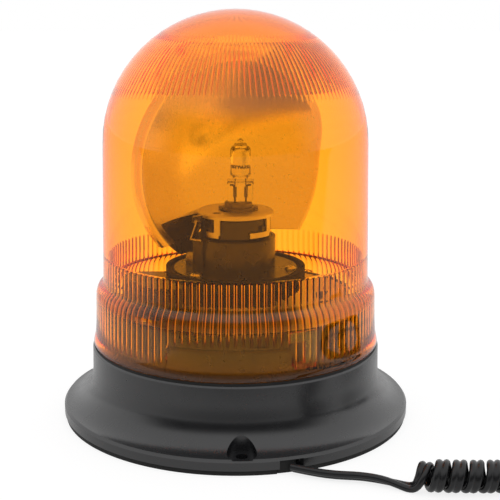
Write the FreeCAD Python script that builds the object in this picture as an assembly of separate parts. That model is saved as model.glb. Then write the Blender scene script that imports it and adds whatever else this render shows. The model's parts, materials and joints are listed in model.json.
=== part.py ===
"""Rotating beacon with a twist-lock lens, a gear-driven reflector and a curly supply lead.

Millimetres, +Z up. The origin is the centre of the base on the surface that it stands on.
The front, where the plain window of the lens is, looks along -Y.
"""
import FreeCAD, Part
import math
import os

V = FreeCAD.Vector
UP = V(0, 0, 1)
ORIGIN = V(0, 0, 0)

# ---------------------------------------------------------------- driving dimensions
BASE_R = 75.0            # flange radius
RIM_TOP = 5.8            # height of the flange's upright rim
COLLAR_R = 62.0          # collar under the lens
COLLAR_TOP = 31.2        # ledge that carries the lens seal
COVE_R = 12.0            # hollow curve between flange and collar
COVE_CENTRE = (74.5, 18.5)
GASKET_H = 2.0           # rubber foot ring
SCREW_CIRCLE_R = 70.0    # mounting screws
SCREW_HOLE_R = 2.4
POCKET_R = 5.8
POCKET_FLOOR = 6.0
MOUNT_ANGLES = (-88.0, 32.0, 152.0)
SPIGOT_R = 56.4          # upright ring that enters the lens
SPIGOT_TOP = 50.4
WALL = 2.2

LENS_BOTTOM = 32.3
LENS_TOP = 172.8
LENS_WALL = 2.0
DOME_R = 55.8            # top of the lens
WALL_TOP_Z = 118.0       # where the upright wall ends
WALL_TOP_R = 55.7
SKIRT_R = 61.6
RIB_COUNT = 120          # inner ribs of skirt and band
RIB_H = 0.6
RIB_BOTTOM = 37.0
RIB_TOP = 70.9
CROWN_RIB_COUNT = 135    # inner ribs of the dome
CROWN_RIB_BOTTOM = 140.8
CROWN_RIB_TOP = 160.0
WINDOW_ANGLES = (-118.6, -65.4)
WINDOW_TOP = 46.0
LUG_ANGLES = (-62.0, 58.0, 178.0)   # lens lugs: hooks that close over catches of the base
LUG_OUTER_R = 59.2
LUG_INNER_R = 57.0
LUG_ARM_Z = (46.5, 50.6)
LUG_FOOT_Z = (35.5, 38.0)

PLATE_TOP = 50.0         # chassis plate
PLATE_T = 1.2
PLATE_R = 54.2

POST_R = 8.0             # fixed post that the rotor turns on
BUSH_CLEARANCE = 0.05
HUB_R = 15.8
SLEEVE_R = 17.2
HUB_TOP = 78.0
SOCKET_R = 15.0
SOCKET_BOTTOM = 78.4
SOCKET_TOP = 87.0
ROTOR_CLEAR_R = 17.2     # rotor parts beside the socket stay outside this

DRIVE_MODULE = 0.9       # turntable and small idler gear
TURNTABLE_TEETH = 60
SMALL_IDLER_TEETH = 12
FIRST_MODULE = 0.6       # motor pinion and large idler gear
LARGE_IDLER_TEETH = 40
MOTOR_TEETH = 10
BACKLASH = 0.16
IDLER_ANGLE = -145.0     # where the idler stands, seen from above
MOTOR_BEARING = 150.0    # direction from idler to motor

TURNTABLE_R = 30.0
TURNTABLE_TOP = 63.2
TURNTABLE_RIM = 64.7

LIGHT_CENTRE = 107.7     # height of the filament
FOCAL = 22.0
REFLECTOR_R = 45.0
REFLECTOR_T = 0.8
REFLECTOR_FACING = -59.0  # direction that the bowl faces at rest
BOWL_CUT = 85.5
LIP_END = 77.0
FLANGE_T = 0.8           # foot of the reflector carrier, screwed to the turntable
CLIP_ANGLE = -160.0      # block that the reflector's spring clip is held by
CLIP_BLOCK_R = 20.9
BULB_X = 1.2             # the lamp sits a little off centre in its clamp

CORD_D = 5.4             # width of the flat twin lead
COIL_D = 12.3            # outer diameter of the curly lead
CORD_R = CORD_D / 2
COIL_R = COIL_D / 2

# route of the lead: base to coil, coil, coil to plug
TAIL_ROUTE = [(21.8, -71.8, 2.75), (29.5, -75.9, 2.75), (38.0, -78.6, 2.75), (47.2, -79.4, 2.75),
              (55.4, -82.6, 2.75), (62.8, -86.8, 2.8), (70.8, -88.6, 3.3)]
COIL_ROUTE = [(70.8, -88.6, 6.25), (87.8, -89.8, 6.25), (125.0, -85.6, 6.25), (199.0, -90.4, 6.25),
              (244.0, -59.0, 6.25), (249.0, -1.0, 6.25), (206.0, 36.0, 6.25), (154.0, 27.0, 6.25),
              (132.5, -12.0, 6.25)]
PLUG_ROUTE = [(132.5, -12.0, 3.4), (127.6, -21.4, 2.85), (127.0, -33.0, 2.75), (133.2, -43.6, 2.9),
              (144.4, -48.4, 5.4), (155.6, -46.6, 9.2), (164.0, -42.4, 10.9)]
PLUG_HEADING = 29.0
PLUG_AXIS_Z = 10.9


# ---------------------------------------------------------------- helpers
def at(radius, angle, z=0.0):
    """Point at a radius and an angle in degrees about the Z axis."""
    a = math.radians(angle)
    return V(radius * math.cos(a), radius * math.sin(a), z)


def cyl(radius, z0, z1, centre=ORIGIN):
    return Part.makeCylinder(radius, z1 - z0, V(centre.x, centre.y, z0))


def ring(outer, inner, z0, z1, centre=ORIGIN):
    return cyl(outer, z0, z1, centre).cut(cyl(inner, z0 - 1, z1 + 1, centre))


def box(x0, x1, y0, y1, z0, z1):
    return Part.makeBox(x1 - x0, y1 - y0, z1 - z0, V(x0, y0, z0))


def turned(points, centre=ORIGIN):
    """Solid of revolution about the Z axis; a third value in a point bulges its edge through it."""
    edges = []
    n = len(points)
    for i in range(n):
        a, b = points[i], points[(i + 1) % n]
        p, q = V(a[0], 0, a[1]), V(b[0], 0, b[1])
        if len(a) == 3:
            edges.append(Part.Arc(p, V(a[2][0], 0, a[2][1]), q).toShape())
        else:
            edges.append(Part.makeLine(p, q))
    solid = Part.Face(Part.Wire(edges)).revolve(ORIGIN, UP, 360)
    solid.translate(centre)
    return solid


def arc_mid(centre, p, q):
    """Middle of the shorter arc from p to q about a centre, in profile coordinates."""
    r = math.hypot(p[0] - centre[0], p[1] - centre[1])
    mx, mz = (p[0] + q[0]) / 2 - centre[0], (p[1] + q[1]) / 2 - centre[1]
    k = r / math.hypot(mx, mz)
    return (centre[0] + mx * k, centre[1] + mz * k)


def fused(first, *others):
    return first.multiFuse(list(others)).removeSplitter()


def sector(outer, inner, z0, z1, start, end):
    """Part of a ring between two angles."""
    face = turned([(inner, z0), (outer, z0), (outer, z1), (inner, z1)])
    wedge = Part.makeCylinder(outer + 5, z1 - z0 + 2, V(0, 0, z0 - 1), UP, end - start)
    wedge.rotate(ORIGIN, UP, start)
    return face.common(wedge)


def hexagon(across, z0, z1, centre=ORIGIN):
    r = across / math.sqrt(3)
    points = [centre + at(r, 60 * i) for i in range(7)]
    face = Part.Face(Part.makePolygon([V(p.x, p.y, z0) for p in points]))
    return face.extrude(V(0, 0, z1 - z0))


def extruded(points, z0, z1):
    """Straight-sided prism over an outline of (x, y) points."""
    loop = [V(x, y, z0) for x, y in points]
    return Part.Face(Part.makePolygon(loop + loop[:1])).extrude(V(0, 0, z1 - z0))


def pan_screw(centre, seat, head_r, head_h, shank_r, length):
    """Screw with a domed head on the seat height and its shank below."""
    head = turned([(0, seat), (head_r, seat), (head_r, seat + head_h * 0.45,
                   (head_r * 0.8, seat + head_h * 0.9)), (0, seat + head_h)], centre)
    drive = Part.makeBox(head_r * 1.1, 0.6, head_h, V(-head_r * 0.55, -0.3, seat + head_h * 0.55))
    drive.translate(centre)
    return fused(head, cyl(shank_r, seat - length, seat + 0.1, centre)).cut(drive)


def involute_gear(module, teeth, z0, z1, bore, phase=0.0):
    """Spur gear with involute flanks of 20 degrees, thinned for backlash, about the Z axis."""
    pitch = module * teeth / 2
    base = pitch * math.cos(math.radians(20))
    tip = pitch + 0.95 * module
    root = pitch - 1.2 * module
    def roll(r):
        a = math.acos(min(1.0, base / r))
        return math.tan(a) - a
    half = math.pi / (2 * teeth) - BACKLASH / (2 * pitch) + roll(pitch)
    low = max(root, base)
    radii = [low + (tip - low) * k / 2 for k in range(3)]
    points = []
    for i in range(teeth):
        mid = math.radians(phase) + 2 * math.pi * i / teeth
        left = [(root, mid - half + roll(low))] if low > root else []
        left += [(r, mid - half + roll(r)) for r in radii]
        right = [(r, 2 * mid - a) for r, a in reversed(left)]
        points += [(r * math.cos(a), r * math.sin(a)) for r, a in left + right]
    return extruded(points, z0, z1).cut(cyl(bore, z0 - 1, z1 + 1))


def moved(shape, centre):
    shape.translate(V(centre.x, centre.y, 0))
    return shape


def tube_along(route, radius):
    """Tube of straight runs joined by tangent arcs, each as large as its two runs allow."""
    pts = [V(*p) for p in route]
    edges = []
    radii = []
    start = pts[0]
    length = 0.0
    for a, b, c in zip(pts, pts[1:], pts[2:]):
        u = (b - a).normalize()
        w = (c - b).normalize()
        turn = u.getAngle(w)
        setback = 0.45 * min((b - a).Length, (c - b).Length)
        bend = setback / math.tan(turn / 2)
        p, q = b - u * setback, b + w * setback
        inward = (w - u).normalize()
        centre = b + inward * math.hypot(bend, setback)
        edges.append(Part.makeLine(start, p))
        edges.append(Part.Arc(p, centre - inward * bend, q).toShape())
        length += (p - start).Length + bend * turn
        radii.append(round(bend / (2 * radius), 1))
        start = q
    edges.append(Part.makeLine(start, pts[-1]))
    length += (pts[-1] - start).Length
    path = Part.Wire(edges)
    section = Part.Wire(Part.Circle(pts[0], (pts[1] - pts[0]).normalize(), radius).toShape())
    tube = path.makePipeShell([section], True, False)
    print("bend radii in diameters", radii, "length", round(length, 1),
          "volume ratio", round(tube.Volume / (math.pi * radius ** 2 * length), 4))
    return tube


# ---------------------------------------------------------------- base
CABLE_DIR = (V(*TAIL_ROUTE[1]) - V(*TAIL_ROUTE[0])).normalize()
CABLE_EXIT = V(*TAIL_ROUTE[0])
SLANT = 7.0              # length of the slanting way through the rim
CABLE_BEND = CABLE_EXIT - CABLE_DIR * SLANT


def cable_channel(width, z0, z1, inner_r, reach=14.0):
    """Way of the lead through the flange: slanting out of the rim, then straight inwards."""
    bend = CABLE_BEND
    out = box(0, reach, -width / 2, width / 2, z0, z1)
    out.rotate(ORIGIN, UP, math.degrees(math.atan2(CABLE_DIR.y, CABLE_DIR.x)))
    out.translate(V(bend.x, bend.y, 0))
    radial = math.degrees(math.atan2(bend.y, bend.x))
    inward = box(inner_r, math.hypot(bend.x, bend.y), -width / 2, width / 2, z0, z1)
    inward.rotate(ORIGIN, UP, radial)
    return fused(out, inward, cyl(width / 2, z0, z1, bend))


def base_housing():
    cx, cz = COVE_CENTRE
    cove_low, cove_high = (cx - 0.4, cz - COVE_R), (cx - COVE_R, cz)
    outer = turned([
        (0, GASKET_H), (BASE_R, GASKET_H), (BASE_R, RIM_TOP - 0.4), (BASE_R - 0.4, RIM_TOP),
        (cove_low[0], cove_low[1], arc_mid(COVE_CENTRE, cove_low, cove_high)),
        (cove_high[0], cove_high[1]), (COLLAR_R + 0.2, cz + 1.6), (COLLAR_R, COLLAR_TOP - 0.8),
        (COLLAR_R - 0.8, COLLAR_TOP), (SPIGOT_R, COLLAR_TOP), (SPIGOT_R, SPIGOT_TOP - 0.6),
        (SPIGOT_R - 0.6, SPIGOT_TOP), (0, SPIGOT_TOP)])
    inner_r = COVE_R + WALL
    wall_r = COLLAR_R - WALL
    low = (62.4, cz - math.sqrt(inner_r ** 2 - (cx - 62.4) ** 2))
    high = (cx - inner_r, cz)
    ledge_z = PLATE_TOP - PLATE_T
    hollow = turned([
        (0, 0), (62.4, 0), (62.4, low[1], arc_mid(COVE_CENTRE, low, high)), high,
        (wall_r, cz + 2), (wall_r, 27.5), (SPIGOT_R - 2, 31), (SPIGOT_R - 2, 45.4), (52.4, 47.0),
        (52.4, ledge_z), (PLATE_R + 0.2, ledge_z), (PLATE_R + 0.2, SPIGOT_TOP + 1),
        (0, SPIGOT_TOP + 1)])
    core_low = (72.4, cz - math.sqrt(inner_r ** 2 - (cx - 72.4) ** 2))
    core_high = (65.0, cz - math.sqrt(inner_r ** 2 - (cx - 65.0) ** 2))
    coring = turned([(65.0, 0), (72.4, 0),
                     (core_low[0], core_low[1], arc_mid(COVE_CENTRE, core_low, core_high)),
                     core_high])
    pads = [cyl(POCKET_R + WALL, GASKET_H, 30, at(SCREW_CIRCLE_R, a)) for a in MOUNT_ANGLES]
    pads.append(cable_channel(6.8 + 2 * WALL, GASKET_H, 8.0, 62.0))
    coring = coring.cut(pads[0].multiFuse(pads[1:]))
    body = outer.cut(hollow).cut(coring)
    bosses = [cyl(3.2, 38.8, ledge_z, at(50, a)) for a in (105, 225, 345)]
    bosses += [box(50, 54.8, -1.2, 1.2, 38.8, ledge_z).rotated(ORIGIN, UP, a) for a in (105, 225, 345)]
    feet = [cyl(3.6, 3.2, 16, at(57, a)).common(cyl(60.6, 0, 20)) for a in (60, 180, 300)]
    catches = [sector(57.7, SPIGOT_R - 0.2, 39.0, 45.6, a - 21, a - 15) for a in LUG_ANGLES]
    body = fused(body, *(bosses + feet + catches))
    cuts = [cyl(POCKET_R, POCKET_FLOOR, 34, at(SCREW_CIRCLE_R, a)) for a in MOUNT_ANGLES]
    cuts += [cyl(SCREW_HOLE_R, 0, 10, at(SCREW_CIRCLE_R, a)) for a in MOUNT_ANGLES]
    cuts += [cyl(1.25, 40, 50, at(50, a)) for a in (105, 225, 345)]
    cuts += [cyl(1.25, 3, 13, at(57, a)) for a in (60, 180, 300)]
    cuts.append(cable_channel(6.8, 0, 5.5, 58.0))
    for cut in cuts:
        body = body.cut(cut)
    return body


def foot_gasket():
    body = ring(BASE_R - 0.6, 63.0, 0, GASKET_H)
    for a in MOUNT_ANGLES:
        body = body.cut(cyl(SCREW_HOLE_R, -1, 3, at(SCREW_CIRCLE_R, a)))
    return body.cut(cable_channel(7.0, -1, 3, 58.0))


def cable_grommet():
    body = cable_channel(6.6, 0.3, 5.3, 60.4, SLANT).common(cyl(BASE_R - 0.5, 0, 9))
    radial = math.degrees(math.atan2(CABLE_BEND.y, CABLE_BEND.x))
    collar = box(58.6, 61.2, -5, 5, 3.4, 9.0)
    collar.rotate(ORIGIN, UP, radial)
    neck = box(58.6, 61.2, -3.3, 3.3, 0.3, 4)
    neck.rotate(ORIGIN, UP, radial)
    return fused(body, collar, neck)


def base_plate():
    body = turned([(0, 13.5), (49.2, 13.5), (49.2, 3.2), (50.4, 2.0), (62.2, 2.0), (62.2, 3.2),
                   (50.4, 3.2), (50.4, 14.7), (0, 14.7)])
    for a in (60, 180, 300):
        body = body.cut(cyl(1.7, 1, 4, at(57, a)))
    radial = math.degrees(math.atan2(CABLE_BEND.y, CABLE_BEND.x))
    gap = box(57.6, 64, -5.6, 5.6, 0, 6)
    gap.rotate(ORIGIN, UP, radial)
    return body.cut(gap).cut(cyl(2.6, 13, 16))


def plate_screws():
    screws = []
    for a in (60, 180, 300):
        screw = pan_screw(at(57, a), 0, 2.8, 1.5, 1.25, 8)
        screw.rotate(at(57, a), V(1, 0, 0), 180)
        screw.translate(V(0, 0, 2.0))
        screws.append(screw)
    return Part.makeCompound(screws)


def magnet_parts():
    cup = turned([(2.6, 12.0), (45.2, 12.0), (45.2, 1.3), (48.4, 1.3), (48.4, 13.5), (2.6, 13.5)])
    magnet = ring(44.9, 12.0, 1.3, 12.0)
    pad = turned([(0, 0), (49.4, 0), (50.0, 0.6), (50.0, 1.3), (0, 1.3)])
    bolt = fused(hexagon(8, 9.0, 12.0), cyl(2.5, 9.5, 19.5))
    nut = hexagon(8, 14.7, 18.5).cut(cyl(2.5, 14, 20))
    return {"magnet_cup": cup, "magnet_ring": magnet, "magnet_pad": pad, "magnet_bolt": bolt,
            "magnet_nut": nut}


# ---------------------------------------------------------------- lens
def star_loft(sections, count, height):
    """Cavity core whose surface has a narrow notch for each rib; sections are (radius, z)."""
    wires = []
    pitch = 2 * math.pi / count
    for radius, z in sections:
        points = []
        for i in range(count):
            a = i * pitch
            for offset, r in ((-0.17, radius), (-0.1, radius - height),
                              (0.1, radius - height), (0.17, radius)):
                points.append(V(r * math.cos(a + offset * pitch), r * math.sin(a + offset * pitch), z))
        wires.append(Part.makePolygon(points + points[:1]))
    return Part.makeLoft(wires, True, True)


def dome_radius(z, inset):
    """Radius of the lens's upper sphere at a height, inset from the outside."""
    return math.sqrt((DOME_R - inset) ** 2 - (z - (LENS_TOP - DOME_R)) ** 2)


def lens():
    dome_z = LENS_TOP - DOME_R
    outer = turned([
        (0, LENS_BOTTOM), (SKIRT_R, LENS_BOTTOM), (60.6, 37.4), (60.1, 49.0),
        (60.0, 52.6, (59.5, 56.0)), (58.3, 57.9), (57.0, 59.0), (WALL_TOP_R, WALL_TOP_Z),
        (dome_radius(127.0, 0), 127.0, (dome_radius(157.0, 0), 157.0)), (0, LENS_TOP)])
    inner_wall_top = WALL_TOP_R - LENS_WALL
    lower = turned([(0, 30), (59.3, 30), (58.9, RIB_BOTTOM), (0, RIB_BOTTOM)])
    skirt_ribs = star_loft([(58.9, RIB_BOTTOM), (58.4, 51.6), (55.2, 58.6), (54.9, RIB_TOP)],
                           RIB_COUNT, RIB_H)
    upper = turned([(0, RIB_TOP), (54.9, RIB_TOP), (inner_wall_top, WALL_TOP_Z),
                    (dome_radius(126.0, LENS_WALL), 126.0,
                     (dome_radius(134.0, LENS_WALL), 134.0)),
                    (dome_radius(CROWN_RIB_BOTTOM, LENS_WALL), CROWN_RIB_BOTTOM),
                    (0, CROWN_RIB_BOTTOM)])
    crown_ribs = star_loft([(dome_radius(z, LENS_WALL), z) for z in
                            (CROWN_RIB_BOTTOM, 151.0, CROWN_RIB_TOP)], CROWN_RIB_COUNT, RIB_H)
    cap_r = dome_radius(CROWN_RIB_TOP, LENS_WALL)
    cap = turned([(0, CROWN_RIB_TOP), (cap_r, CROWN_RIB_TOP,
                  (dome_radius(167.0, LENS_WALL), 167.0)), (0, LENS_TOP - LENS_WALL)])
    body = outer
    for core in (lower, skirt_ribs, upper, crown_ribs, cap):
        body = body.cut(core)
    start, end = WINDOW_ANGLES
    body = body.cut(sector(59.05, 50, RIB_BOTTOM + 0.4, WINDOW_TOP, start, end))
    body = body.cut(sector(64, 60.25, RIB_BOTTOM + 1.4, WINDOW_TOP - 0.8, start + 2, end - 2))
    lugs = []
    for a in LUG_ANGLES:
        lugs.append(sector(LUG_OUTER_R, LUG_INNER_R, LUG_FOOT_Z[0], LUG_ARM_Z[1], a - 0.5, a + 4.5))
        lugs.append(sector(LUG_OUTER_R, LUG_INNER_R, *LUG_ARM_Z, a - 7, a))
        lugs.append(sector(LUG_OUTER_R, LUG_INNER_R, *LUG_FOOT_Z, a - 4.5, a))
    return fused(body, *lugs)


# ---------------------------------------------------------------- drive
IDLER_RADIUS = DRIVE_MODULE * (TURNTABLE_TEETH + SMALL_IDLER_TEETH) / 2
IDLER_AT = at(IDLER_RADIUS, IDLER_ANGLE)
MOTOR_AT = IDLER_AT + at(FIRST_MODULE * (LARGE_IDLER_TEETH + MOTOR_TEETH) / 2, MOTOR_BEARING)


def mesh_phase(driver_phase, driver_teeth, teeth, bearing):
    """Turn of a gear that puts a gap of it on the line to its driver's tooth."""
    driver_turn = (bearing - driver_phase) * driver_teeth
    back = (bearing + 180.0) * teeth
    return (back - 180.0 + driver_turn) / teeth


def chassis_plate():
    body = cyl(PLATE_R, PLATE_TOP - PLATE_T, PLATE_TOP)
    cuts = [cyl(7.0, 45, 52), cyl(1.5, 45, 52, IDLER_AT), cyl(3.2, 45, 52, MOTOR_AT),
            cyl(4.0, 45, 52, at(40, 75)), cyl(4.0, 45, 52, at(40, 10))]
    cuts += [cyl(1.7, 45, 52, at(50, a)) for a in (105, 225, 345)]
    cuts += [cyl(1.3, 45, 52, MOTOR_AT + at(7.5, a)) for a in (60, 240)]
    for cut in cuts:
        body = body.cut(cut)
    return body


def motor_parts():
    top = PLATE_TOP - PLATE_T
    can = fused(cyl(10.6, 24.0, top - 1.5, MOTOR_AT),
                turned([(0, top - 1.5), (10.6, top - 1.5, (10.3, top - 0.5)), (9.4, top),
                        (0, top)], MOTOR_AT), cyl(3.1, top - 1, top + 0.9, MOTOR_AT))
    can = can.cut(cyl(1.06, 36, 60, MOTOR_AT))
    for a in (60, 240):
        can = can.cut(cyl(1.1, 42, 60, MOTOR_AT + at(7.5, a)))
    end_cap = fused(cyl(10.2, 20.6, 24.0, MOTOR_AT), cyl(3.4, 18.8, 21, MOTOR_AT))
    shaft = cyl(1.0, 37, 55.4, MOTOR_AT)
    tabs = []
    for side in (-1, 1):
        tab = box(-1.2, 1.2, -0.3, 0.3, 16.6, 20.6)
        tab.translate(V(MOTOR_AT.x + 6.2 * side, MOTOR_AT.y, 0))
        tabs.append(tab)
    screws = [pan_screw(MOTOR_AT + at(7.5, a), PLATE_TOP, 2.0, 1.1, 1.1, 6) for a in (60, 240)]
    return {"motor_can": can, "motor_end_cap": end_cap, "motor_shaft": shaft,
            "motor_tabs": Part.makeCompound(tabs), "motor_screws": Part.makeCompound(screws)}


def gears():
    turntable_phase = 0.0
    small_phase = mesh_phase(turntable_phase, TURNTABLE_TEETH, SMALL_IDLER_TEETH, IDLER_ANGLE)
    large_phase = 0.0
    pinion_phase = mesh_phase(large_phase, LARGE_IDLER_TEETH, MOTOR_TEETH, MOTOR_BEARING)
    teeth = involute_gear(DRIVE_MODULE, TURNTABLE_TEETH, 54.6, 59.4, 23.6, turntable_phase)
    boss = ring(14.0, 10.0, 52.4, TURNTABLE_TOP)
    disc = turned([(10.0, 59.2), (29.4, 59.2), (TURNTABLE_R, 59.8), (TURNTABLE_R, TURNTABLE_RIM),
                   (28.6, TURNTABLE_RIM), (28.2, TURNTABLE_TOP), (10.0, TURNTABLE_TOP)])
    turntable = fused(teeth, boss, disc)
    for a in (-133, -13, 107):
        turntable = turntable.cut(cyl(1.1, 58, 64, at(24, a)))
    small = involute_gear(DRIVE_MODULE, SMALL_IDLER_TEETH, 53.4, 58.2, 1.55, small_phase)
    large = involute_gear(FIRST_MODULE, LARGE_IDLER_TEETH, 51.0, 53.6, 1.55, large_phase)
    collar = ring(2.6, 1.55, 50.1, 51.1)
    idler = moved(fused(small, large, collar), IDLER_AT)
    pinion = involute_gear(FIRST_MODULE, MOTOR_TEETH, 50.9, 54.2, 1.0, pinion_phase)
    return {"turntable": turntable, "idler_gear": idler, "motor_pinion": moved(pinion, MOTOR_AT)}


def idler_fixings():
    pin = fused(cyl(1.5, 47.6, 59.2, IDLER_AT), cyl(2.4, 47.6, 48.8, IDLER_AT))
    pin = pin.cut(ring(1.6, 1.2, 58.4, 58.9, IDLER_AT))
    clip = ring(2.5, 1.2, 58.4, 58.9, IDLER_AT).cut(
        box(IDLER_AT.x - 4, IDLER_AT.x, IDLER_AT.y - 0.9, IDLER_AT.y + 0.9, 58, 59))
    return {"idler_pin": pin, "idler_clip": clip}


def capsule(radius_a, radius_b, z0, z1):
    """Block round the idler and motor gears: two round ends and the flat sides between them."""
    a, b = IDLER_AT, MOTOR_AT
    gap = (b - a).Length
    bearing = math.atan2(b.y - a.y, b.x - a.x)
    lean = math.acos((radius_a - radius_b) / gap)
    outline = []
    for centre, r, sign in ((a, radius_a, 1), (b, radius_b, 1), (b, radius_b, -1), (a, radius_a, -1)):
        angle = bearing + sign * lean
        outline.append((centre.x + r * math.cos(angle), centre.y + r * math.sin(angle)))
    return fused(extruded(outline, z0, z1), cyl(radius_a, z0, z1, a), cyl(radius_b, z0, z1, b))


def gear_cover():
    body = capsule(14.6, 7.4, PLATE_TOP, 62.6)
    body = body.cut(capsule(13.4, 6.2, PLATE_TOP - 1, 61.4))
    body = body.cut(cyl(TURNTABLE_R + 0.9, 49, 64))
    for a in (60, 240):
        body = body.cut(cyl(2.4, PLATE_TOP - 1, PLATE_TOP + 2.2, MOTOR_AT + at(7.5, a)))
    return body


def post_parts():
    post = turned([(4.2, 43), (7.0, 43), (7.0, 50), (13.0, 50), (13.0, 51.6), (POST_R, 51.6),
                   (POST_R, 75.2), (7.5, 75.2), (7.5, 76.0), (POST_R, 76.0),
                   (POST_R, SOCKET_BOTTOM), (4.2, SOCKET_BOTTOM)])
    nut = hexagon(20, 44.8, 48.8).cut(cyl(7.0, 40, 50))
    washer = ring(12.0, POST_R + 0.1, 51.6, 52.2)
    bush = ring(10.0, POST_R + BUSH_CLEARANCE, 52.3, 75.0)
    clip = ring(11.0, 7.5, 75.2, 76.0).cut(box(0, 14, -2, 2, 75, 77))
    hub = turned([(10.0, TURNTABLE_TOP), (HUB_R, TURNTABLE_TOP), (HUB_R, HUB_TOP - 0.6),
                  (HUB_R - 0.6, HUB_TOP), (12.6, HUB_TOP), (12.6, 75.0), (10.0, 75.0)])
    return {"centre_post": post, "post_nut": nut, "thrust_washer": washer, "rotor_bush": bush,
            "rotor_clip": clip, "rotor_hub": hub}


# ---------------------------------------------------------------- lamp
HOOK_ANGLES = (-119.0, -32.0, 61.0, 148.0)
HOOK_R = SOCKET_R + 0.25
HOOK_T = 1.0


def bulb_socket():
    body = turned([(4.2, SOCKET_BOTTOM), (SOCKET_R - 0.5, SOCKET_BOTTOM),
                   (SOCKET_R, SOCKET_BOTTOM + 0.5), (SOCKET_R, 86.4), (SOCKET_R - 0.6, SOCKET_TOP),
                   (7.6, SOCKET_TOP), (7.6, 83.0), (4.2, 83.0)])
    lugs = [sector(HOOK_R + HOOK_T, SOCKET_R - 0.4, 81.9, 83.9, a - 15, a - 8) for a in HOOK_ANGLES]
    body = fused(body, *lugs)
    for a in (0, 180):
        body = body.cut(cyl(1.3, 77, 90, at(11, a))).cut(cyl(2.1, 85.6, 90, at(11, a)))
    return body


def socket_screws():
    return Part.makeCompound([pan_screw(at(11, a), 85.6, 2.0, 1.0, 1.3, 6.8) for a in (0, 180)])


def bulb_clamp():
    """Turned-down plate with four hooks; each hook's foot points clockwise under a socket lug."""
    plate = turned([(6.8, 88.1), (HOOK_R, 88.1), (HOOK_R, 87.1), (HOOK_R + HOOK_T, 87.1),
                    (HOOK_R + HOOK_T, 88.4), (HOOK_R + HOOK_T - 0.6, 88.9), (6.8, 88.9)])
    outer = HOOK_R + HOOK_T
    pieces = []
    for a in HOOK_ANGLES:
        reach = 36 if a == HOOK_ANGLES[1] else 20
        pieces.append(sector(outer, HOOK_R, 80.6, 87.4, a - 4.5, a + 5.5))
        pieces.append(sector(outer, HOOK_R, 79.3, 81.6, a - reach, a + 3))
    body = fused(plate, *pieces)
    for a in (45, 225):
        body = body.cut(cyl(1.8, 86, 90, at(11, a)))
    return body


def lamp_parts():
    centre = V(BULB_X, 0, 0)
    base = turned([(0, 84.0), (5.5, 84.0), (5.5, 88.95), (7.0, 88.95), (7.0, 90.3), (5.9, 90.3),
                   (5.9, 92.0), (5.3, 92.6), (0, 92.6)], centre)
    ears = box(-8.4, 8.4, -1.6, 1.6, 89.3, 90.3)
    ears.translate(centre)
    base = fused(base, ears)
    pinch = box(-5.9, 5.9, -2.1, 2.1, 92.6, 101.6)
    envelope = turned([(0, 99.6), (1.9, 99.6), (4.5, 103.4), (4.5, 113.4, (3.9, 115.3)),
                       (2.2, 116.6), (1.2, 117.4), (0.7, 119.0), (0, 119.5)])
    void = turned([(0, 104.4), (3.5, 104.4), (3.5, 112.8, (2.9, 114.2)), (1.0, 115.2), (0, 115.2)])
    glass = fused(pinch, envelope).cut(void)
    glass.translate(centre)
    legs = [box(2.4 * side - 0.2, 2.4 * side + 0.2, -0.2, 0.2, 104.2, LIGHT_CENTRE)
            for side in (-1, 1)]
    coil = Part.makeCylinder(0.75, 5.2, V(-2.6, 0, LIGHT_CENTRE), V(1, 0, 0))
    filament = fused(coil, *legs)
    filament.translate(centre)
    lead = turned([(0, 40.0), (1.6, 40.0), (1.6, 84.0), (0, 84.0)])
    return {"bulb_base": base, "bulb_glass": glass, "bulb_filament": filament, "bulb_lead": lead}


# ---------------------------------------------------------------- reflector
def bowl_profile(offset, rim):
    """Curve of the bowl, offset outwards along its normal, from its vertex to a rim radius."""
    points = []
    steps = 7
    for i in range(steps + 1):
        r = rim * i / steps
        slope = r / (2 * FOCAL)
        k = offset / math.hypot(1, slope)
        points.append(V(r + slope * k, FOCAL - r * r / (4 * FOCAL) + k, 0))
    return points


def bowl_solid(offset, rim):
    """Filled bowl about the Y axis, opening towards -Y, with its focus at the origin."""
    points = bowl_profile(offset, rim)
    curve = Part.BSplineCurve()
    curve.interpolate(points)
    last = points[-1]
    edges = [curve.toShape(), Part.makeLine(last, V(0, last.y, 0)),
             Part.makeLine(V(0, last.y, 0), points[0])]
    return Part.Face(Part.Wire(edges)).revolve(ORIGIN, V(0, 1, 0), 360)


def seat_bowl(shape):
    """Put a shape of the bowl's own frame at the light centre and turn it to its heading."""
    shape.translate(V(0, 0, LIGHT_CENTRE))
    shape.rotate(ORIGIN, UP, REFLECTOR_FACING + 90)
    return shape


def disc_y(radius, y0, y1):
    return Part.makeCylinder(radius, y1 - y0, V(0, y0, 0), V(0, 1, 0))


def reflector():
    rim_y = FOCAL - REFLECTOR_R ** 2 / (4 * FOCAL)
    shell = bowl_solid(REFLECTOR_T, REFLECTOR_R + 1).cut(bowl_solid(0, REFLECTOR_R + 4))
    shell = shell.common(disc_y(60, rim_y, 40))
    lip = disc_y(REFLECTOR_R + 1.9, rim_y, rim_y + 2.8).cut(
        disc_y(REFLECTOR_R + 1.1, rim_y + 0.8, 10)).cut(disc_y(REFLECTOR_R - 0.1, -9, 9))
    shell = fused(shell, lip)
    drop = LIGHT_CENTRE
    lower = box(-60, 0, -20, 40, -drop, BOWL_CUT - drop).common(disc_y(REFLECTOR_R - 3.2, -20, 40))
    shell = shell.cut(lower).cut(box(-60, 60, -20, 40, -drop, LIP_END - drop))
    body = seat_bowl(shell)
    return body.cut(cyl(ROTOR_CLEAR_R, HUB_TOP - 0.2, 89.2)).cut(cyl(SLEEVE_R + 0.1, 60, HUB_TOP))


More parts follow.
